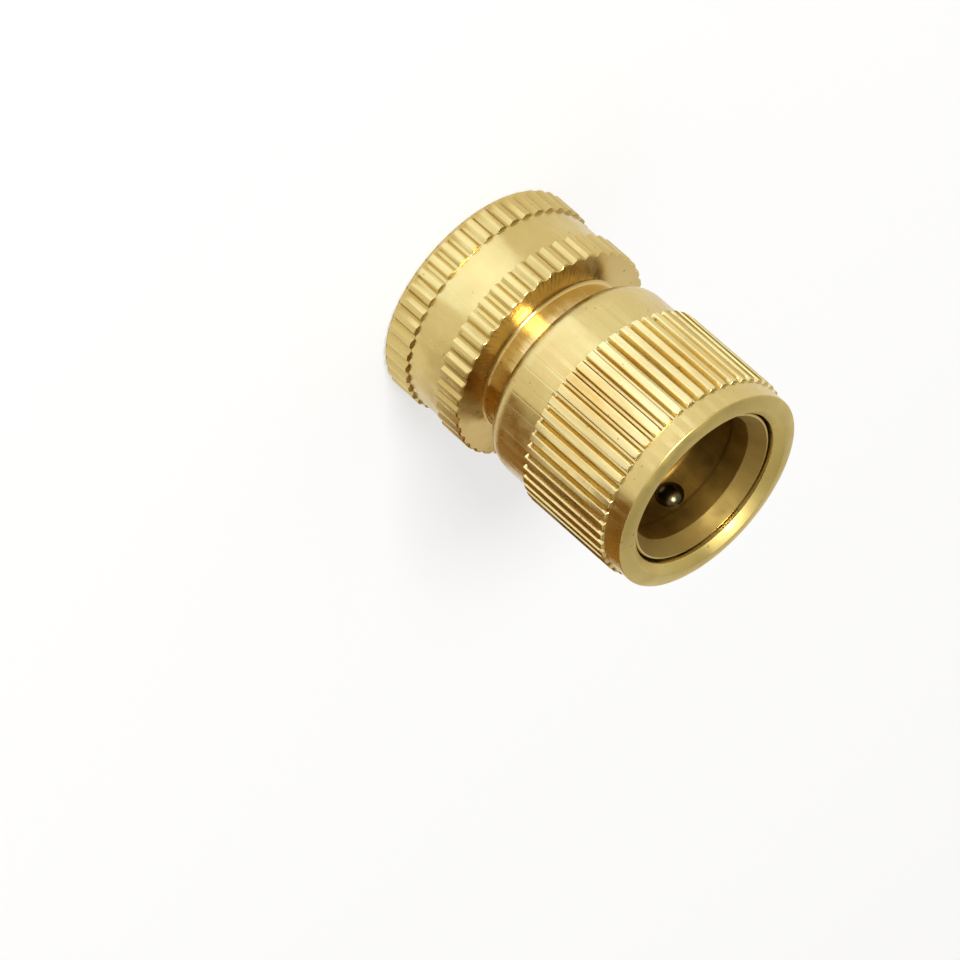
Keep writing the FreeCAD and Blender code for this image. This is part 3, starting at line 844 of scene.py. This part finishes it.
def flat_washer():
    """A rounded rectangle carried round the axis, its lower face waved by cosine rings."""
    lower = np.linspace(WASHER_HOLE + WASHER_EDGE, WASHER_RADIUS - WASHER_EDGE, FACE_ROWS)[1:-1]
    wave = RIDGE_HEIGHT * (0.5 + 0.5 * np.cos(2 * math.pi * (lower - WASHER_HOLE) / RIDGE_PITCH))
    corners = np.array([
        (WASHER_HOLE, WASHER_FOOT, WASHER_EDGE),
        (WASHER_RADIUS, WASHER_FOOT, WASHER_EDGE),
        (WASHER_RADIUS, WASHER_SEAT, WASHER_EDGE),
        (WASHER_HOLE, WASHER_SEAT, WASHER_EDGE),
    ])
    edges = rounded_outline(corners, WASHER_EDGE_STEPS)
    lower_face = np.stack([lower, WASHER_FOOT + wave], axis=1)
    section = np.concatenate([edges[:WASHER_EDGE_STEPS], lower_face, edges[WASHER_EDGE_STEPS:]])
    turn = np.linspace(0, 2 * math.pi, WASHER_STEPS, endpoint=False)[None, :]
    radius = section[:, :1]
    height = section[:, 1:] + 0 * turn
    return closed_grid("flat_washer", radius * np.cos(turn), radius * np.sin(turn), height)


washer = face_weighted(flat_washer())
washer.data.materials.append(rubber("washer_rubber", tone=(0.022, 0.022, 0.022), roughness=0.55))
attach(washer, "body")
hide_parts("hose_washer")


# Floor
# A wide sheet of matt white card under the part. It keeps the part's soft shadow.
FLOOR_SIZE = 8.0
FLOOR_TONE = (0.93, 0.93, 0.93)
FLOOR_GLOW = 0.6
CARD_ROUGHNESS = 0.9
CARD_GLOSS = 0.1


def card(name, tone, glow=0.0):
    """Matt card of one tone. The glow is the share of plain white that eyes and mirrors see in it."""
    material = bpy.data.materials.new(name)
    material.use_nodes = True
    shader = material.node_tree.nodes["Principled BSDF"]
    shader.inputs["Roughness"].default_value = CARD_ROUGHNESS
    shader.inputs["Specular IOR Level"].default_value = CARD_GLOSS
    shader.inputs["Base Color"].default_value = (*tone, 1)
    if glow:
        ray = add_node(material, "ShaderNodeLightPath").outputs
        seen = calculated(material, "MAXIMUM", ray["Is Camera Ray"], ray["Is Glossy Ray"])
        seen = calculated(material, "MAXIMUM", seen, ray["Is Transmission Ray"])
        share = calculated(material, "MULTIPLY", seen, glow)
        white = add_node(material, "ShaderNodeEmission").outputs["Emission"]
        mix = add_node(material, "ShaderNodeMixShader", share, shader.outputs["BSDF"], white)
        surface = material.node_tree.nodes["Material Output"].inputs["Surface"]
        material.node_tree.links.new(mix.outputs["Shader"], surface)
    return material


side = FLOOR_SIZE / 2
sheet_corners = [(-side, -side, 0), (side, -side, 0), (side, side, 0), (-side, side, 0)]
floor_mesh = bpy.data.meshes.new("floor")
floor_mesh.from_pydata(sheet_corners, [], [(0, 1, 2, 3)])
floor = bpy.data.objects.new("floor", floor_mesh)
bpy.context.scene.collection.objects.link(floor)
floor.data.materials.append(card("white_card", FLOOR_TONE, FLOOR_GLOW))


# Reflector cards
# Cards that only reflections show: brown ones that stand beside the part and darken its
# flank, and lit ones that lie on the floor before it and make its bright streaks.
# A side card is given by two azimuths in degrees, its foot and top in millimetres, and its tone.
SIDE_CARDS = [
    (-24, 56, 0, 14.5, (0.36, 0.2, 0.045)),
    (6, 98, 14.5, 24.5, (0.22, 0.12, 0.03)),
    (-24, 56, 24.5, 46, (0.36, 0.2, 0.045)),
]
SIDE_DISTANCE = 34 * MM
SIDE_PANELS = 12
# A front card is given by two azimuths, its near and far edge in millimetres, and its tone.
FRONT_CARDS = [
    (-107, -49, 15.5, 56, (1.35, 1.5, 1.9)),
    (-148, -88, 56, 84, (1.25, 1.35, 1.6)),
    (-78, -50, 56, 84, (1.0, 0.74, 0.4)),
    (-107, -49, 84, 130, (1.35, 1.5, 1.9)),
]
FRONT_PANELS = 2
FRONT_LIFT = 0.2 * MM


def reflector(name, first_edge, last_edge, material):
    """A card between two rows of points, that neither the camera nor the floor's shadow shows."""
    mesh = bpy.data.meshes.new(name)
    count = len(first_edge)
    panels = [(k, k + 1, count + k + 1, count + k) for k in range(count - 1)]
    mesh.from_pydata([*first_edge, *last_edge], [], panels)
    sheet = bpy.data.objects.new(name, mesh)
    bpy.context.scene.collection.objects.link(sheet)
    sheet.data.materials.append(material)
    sheet.visible_camera = False
    sheet.visible_diffuse = False
    sheet.visible_shadow = False


def card_edge(start, end, panels, distance, height):
    """Points on an arc round the part's axis, from one azimuth to the other, at one height."""
    azimuth = np.radians(np.linspace(start, end, panels + 1))
    return [(distance * math.cos(a), distance * math.sin(a), height) for a in azimuth]


def lit_card(name, tone):
    """A card lit from within, of one tone."""
    material = bpy.data.materials.new(name)
    material.use_nodes = True
    shader = material.node_tree.nodes["Principled BSDF"]
    shader.inputs["Base Color"].default_value = (0, 0, 0, 1)
    shader.inputs["Emission Color"].default_value = (*tone, 1)
    shader.inputs["Emission Strength"].default_value = 1.0
    return material


for number, (start, end, foot, top, tone) in enumerate(SIDE_CARDS):
    reflector(
        f"side_card_{number}",
        card_edge(start, end, SIDE_PANELS, SIDE_DISTANCE, foot * MM),
        card_edge(start, end, SIDE_PANELS, SIDE_DISTANCE, top * MM),
        card(f"brown_card_{number}", tone),
    )
for number, (start, end, near, far, tone) in enumerate(FRONT_CARDS):
    reflector(
        f"front_card_{number}",
        card_edge(start, end, FRONT_PANELS, near * MM, FRONT_LIFT),
        card_edge(start, end, FRONT_PANELS, far * MM, FRONT_LIFT),
        lit_card(f"lit_strip_{number}", tone),
    )


# Studio light
# One large soft box above the camera, one weak one overhead, and a pale room that is
# darker overhead than at its walls.
KEY_AZIMUTH = math.radians(-86)
KEY_ELEVATION = math.radians(45)
KEY_DISTANCE = 1.5
KEY_SIZE = 0.45
KEY_POWER = 17.8
TOP_AZIMUTH = math.radians(20)
TOP_ELEVATION = math.radians(75)
TOP_DISTANCE = 1.0
TOP_SIZE = 0.5
TOP_POWER = 0.4
LOW_WALL_TONE = (0.95, 0.95, 0.95)
WALL_TONE = (0.7, 0.69, 0.66)
CEILING_TONE = (0.22, 0.2, 0.17)
# How far up the tones lie, from 0 at the horizon to 1 overhead.
WALL_RISE = 0.5
CEILING_RISE = 0.95


def direction(azimuth, elevation):
    """The unit vector from the part towards the given azimuth and elevation."""
    flat = math.cos(elevation)
    return np.array([math.cos(azimuth) * flat, math.sin(azimuth) * flat, math.sin(elevation)])


def soft_box(name, azimuth, elevation, distance, size, power):
    """A square lamp that faces the part from the given direction."""
    lamp = bpy.data.lights.new(name, "AREA")
    lamp.shape = "SQUARE"
    lamp.size = size
    lamp.energy = power
    holder = bpy.data.objects.new(name, lamp)
    bpy.context.scene.collection.objects.link(holder)
    holder.location = direction(azimuth, elevation) * distance
    holder.rotation_euler = (math.pi / 2 - elevation, 0, azimuth + math.pi / 2)


soft_box("key", KEY_AZIMUTH, KEY_ELEVATION, KEY_DISTANCE, KEY_SIZE, KEY_POWER)
soft_box("top", TOP_AZIMUTH, TOP_ELEVATION, TOP_DISTANCE, TOP_SIZE, TOP_POWER)

world = bpy.data.worlds.new("room")
bpy.context.scene.world = world
world.use_nodes = True
towards = add_node(world, "ShaderNodeTexCoord").outputs["Generated"]
upwards = add_node(world, "ShaderNodeSeparateXYZ", towards).outputs["Z"]
walls = two_tones(world, upwards, 0.0, LOW_WALL_TONE, CEILING_RISE, CEILING_TONE)
walls.node.color_ramp.elements.new(WALL_RISE).color = (*WALL_TONE, 1)
world.node_tree.links.new(walls, world.node_tree.nodes["Background"].inputs["Color"])


# Camera
# A long lens, level with the photograph: it looks down on the mouth and is rolled so
# that the part's axis runs from upper left to lower right.
SENSOR = 36.0
VIEW_AZIMUTH = math.radians(-70)
VIEW_ELEVATION = math.radians(27.7)
VIEW_DISTANCE = 1.25
FRAME_WIDTH = 112.3 * MM
AXIS_SLOPE = math.radians(41.5)
AXIS_POINT = 20.3 * MM
POINT_RIGHT = 12.94 * MM
POINT_UP = 10.6 * MM
away = direction(VIEW_AZIMUTH, VIEW_ELEVATION)
axis_on_screen = np.array([0, 0, 1]) - away * away[2]
axis_on_screen = axis_on_screen / np.linalg.norm(axis_on_screen)
level = np.array([-math.sin(VIEW_AZIMUTH), math.cos(VIEW_AZIMUTH), 0])
right = math.cos(AXIS_SLOPE) * axis_on_screen - math.sin(AXIS_SLOPE) * level
up = -math.sin(AXIS_SLOPE) * axis_on_screen - math.cos(AXIS_SLOPE) * level
aim = np.array([0, 0, AXIS_POINT]) - right * POINT_RIGHT - up * POINT_UP
place = aim + away * VIEW_DISTANCE
lens = bpy.data.cameras.new("camera")
lens.sensor_width = SENSOR
lens.lens = SENSOR * VIEW_DISTANCE / FRAME_WIDTH
lens.clip_start = 0.05
lens.clip_end = 20
camera = bpy.data.objects.new("camera", lens)
bpy.context.scene.collection.objects.link(camera)
camera.matrix_world = Matrix([*zip(right, up, away, place), (0, 0, 0, 1)])
bpy.context.scene.camera = camera
bpy.context.scene.view_settings.view_transform = "Standard"
